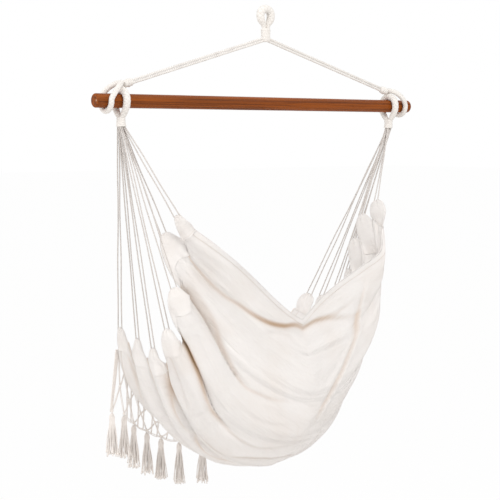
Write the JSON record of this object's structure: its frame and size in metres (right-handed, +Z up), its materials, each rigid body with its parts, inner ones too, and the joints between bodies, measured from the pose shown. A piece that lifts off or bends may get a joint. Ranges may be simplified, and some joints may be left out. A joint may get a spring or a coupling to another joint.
{
  "type": "hammock chair",
  "caption": "hanging hammock chair: a canvas sling seat with a tasselled front hem, carried by fans of cords from a wooden spreader bar and one rope eye",
  "frame": {"origin": "the inside of the hanging eye's crown, where a hook carries the chair", "axes": "+Z up; X along the spreader bar, +X to the left tabs as the sitter faces away from them; +Y to the backrest side, -Y to the tasselled front hem"},
  "size_m": [0.9758, 0.4133, 1.2265],
  "materials": {
    "stained_wood": "satin",
    "pale_wood": "matte",
    "rope": "matte",
    "canvas": "matte",
    "fringe": "matte"
  },
  "bodies": {
    "hanger": {"hanging_eye": "rope", "eye_binding": "rope", "hanging_cord_left_upper": "rope", "hanging_cord_left_lower": "rope", "hanging_cord_right_upper": "rope", "hanging_cord_right_lower": "rope", "ring_knot_left": "rope", "ring_knot_right": "rope", "rope_ring_left": "rope", "rope_ring_right": "rope"},
    "spreader_bar": {"spreader_bar": "stained_wood", "end_plug_left": "pale_wood", "end_plug_right": "pale_wood"},
    "seat": {"clew_eye_left": "rope", "clew_eye_right": "rope", "clew_wrap_left": "rope", "clew_wrap_right": "rope", "clew_cord_left_1": "rope", "clew_cord_left_2": "rope", "clew_cord_left_3": "rope", "clew_cord_left_4": "rope", "clew_cord_left_5": "rope", "clew_cord_left_6": "rope", "clew_cord_left_7": "rope", "clew_cord_right_1": "rope", "clew_cord_right_2": "rope", "clew_cord_right_3": "rope", "clew_cord_right_4": "rope", "clew_cord_right_5": "rope", "clew_cord_right_6": "rope", "clew_cord_right_7": "rope", "tab_left_1": "canvas", "tab_left_2": "canvas", "tab_left_3": "canvas", "tab_left_4": "canvas", "tab_left_5": "canvas", "tab_left_6": "canvas", "tab_left_7": "canvas", "tab_right_1": "canvas", "tab_right_2": "canvas", "tab_right_3": "canvas", "tab_right_4": "canvas", "tab_right_5": "canvas", "tab_right_6": "canvas", "tab_right_7": "canvas", "canvas_seat": "canvas", "fringe_net": "fringe"},
    "tassel_01": {"tassel_01": "fringe"},
    "tassel_02": {"tassel_02": "fringe"},
    "tassel_03": {"tassel_03": "fringe"},
    "tassel_04": {"tassel_04": "fringe"},
    "tassel_05": {"tassel_05": "fringe"},
    "tassel_06": {"tassel_06": "fringe"},
    "tassel_07": {"tassel_07": "fringe"},
    "tassel_08": {"tassel_08": "fringe"},
    "tassel_09": {"tassel_09": "fringe"},
    "tassel_10": {"tassel_10": "fringe"},
    "tassel_11": {"tassel_11": "fringe"},
    "tassel_12": {"tassel_12": "fringe"},
    "tassel_13": {"tassel_13": "fringe"}
  },
  "joints": [
    {"name": "bar_roll", "type": "hinge", "parent": "hanger", "child": "spreader_bar", "pos_m": [0, 0, -0.218], "axis": [1, 0, 0], "continuous": true},
    {"name": "seat_swing", "type": "hinge", "parent": "hanger", "child": "seat", "pos_m": [0, 0, -0.218], "axis": [1, 0, 0], "range_deg": [-30, 30]},
    {"name": "tassel_01_swing", "type": "hinge", "parent": "seat", "child": "tassel_01", "pos_m": [0.314, -0.21001, -0.97059], "axis": [1, 0, 0], "range_deg": [-25, 25]},
    {"name": "tassel_02_swing", "type": "hinge", "parent": "seat", "child": "tassel_02", "pos_m": [0.2747, -0.2162, -0.98296], "axis": [1, 0, 0], "range_deg": [-25, 25]},
    {"name": "tassel_03_swing", "type": "hinge", "parent": "seat", "child": "tassel_03", "pos_m": [0.24074, -0.22413, -1.01285], "axis": [1, 0, 0], "range_deg": [-25, 25]},
    {"name": "tassel_04_swing", "type": "hinge", "parent": "seat", "child": "tassel_04", "pos_m": [0.19562, -0.23348, -1.03994], "axis": [1, 0, 0], "range_deg": [-25, 25]},
    {"name": "tassel_05_swing", "type": "hinge", "parent": "seat", "child": "tassel_05", "pos_m": [0.14744, -0.24077, -1.06382], "axis": [1, 0, 0], "range_deg": [-25, 25]},
    {"name": "tassel_06_swing", "type": "hinge", "parent": "seat", "child": "tassel_06", "pos_m": [0.08753, -0.24528, -1.08343], "axis": [1, 0, 0], "range_deg": [-25, 25]},
    {"name": "tassel_07_swing", "type": "hinge", "parent": "seat", "child": "tassel_07", "pos_m": [0.01103, -0.24705, -1.09469], "axis": [1, 0, 0], "range_deg": [-25, 25]},
    {"name": "tassel_08_swing", "type": "hinge", "parent": "seat", "child": "tassel_08", "pos_m": [-0.04932, -0.24248, -1.05346], "axis": [1, 0, 0], "range_deg": [-25, 25]},
    {"name": "tassel_09_swing", "type": "hinge", "parent": "seat", "child": "tassel_09", "pos_m": [-0.09262, -0.23662, -1.00748], "axis": [1, 0, 0], "range_deg": [-25, 25]},
    {"name": "tassel_10_swing", "type": "hinge", "parent": "seat", "child": "tassel_10", "pos_m": [-0.1301, -0.2305, -0.96979], "axis": [1, 0, 0], "range_deg": [-25, 25]},
    {"name": "tassel_11_swing", "type": "hinge", "parent": "seat", "child": "tassel_11", "pos_m": [-0.17294, -0.22443, -0.9396], "axis": [1, 0, 0], "range_deg": [-25, 25]},
    {"name": "tassel_12_swing", "type": "hinge", "parent": "seat", "child": "tassel_12", "pos_m": [-0.21621, -0.22184, -0.91624], "axis": [1, 0, 0], "range_deg": [-25, 25]},
    {"name": "tassel_13_swing", "type": "hinge", "parent": "seat", "child": "tassel_13", "pos_m": [-0.2791, -0.22306, -0.91781], "axis": [1, 0, 0], "range_deg": [-25, 25]}
  ]
}
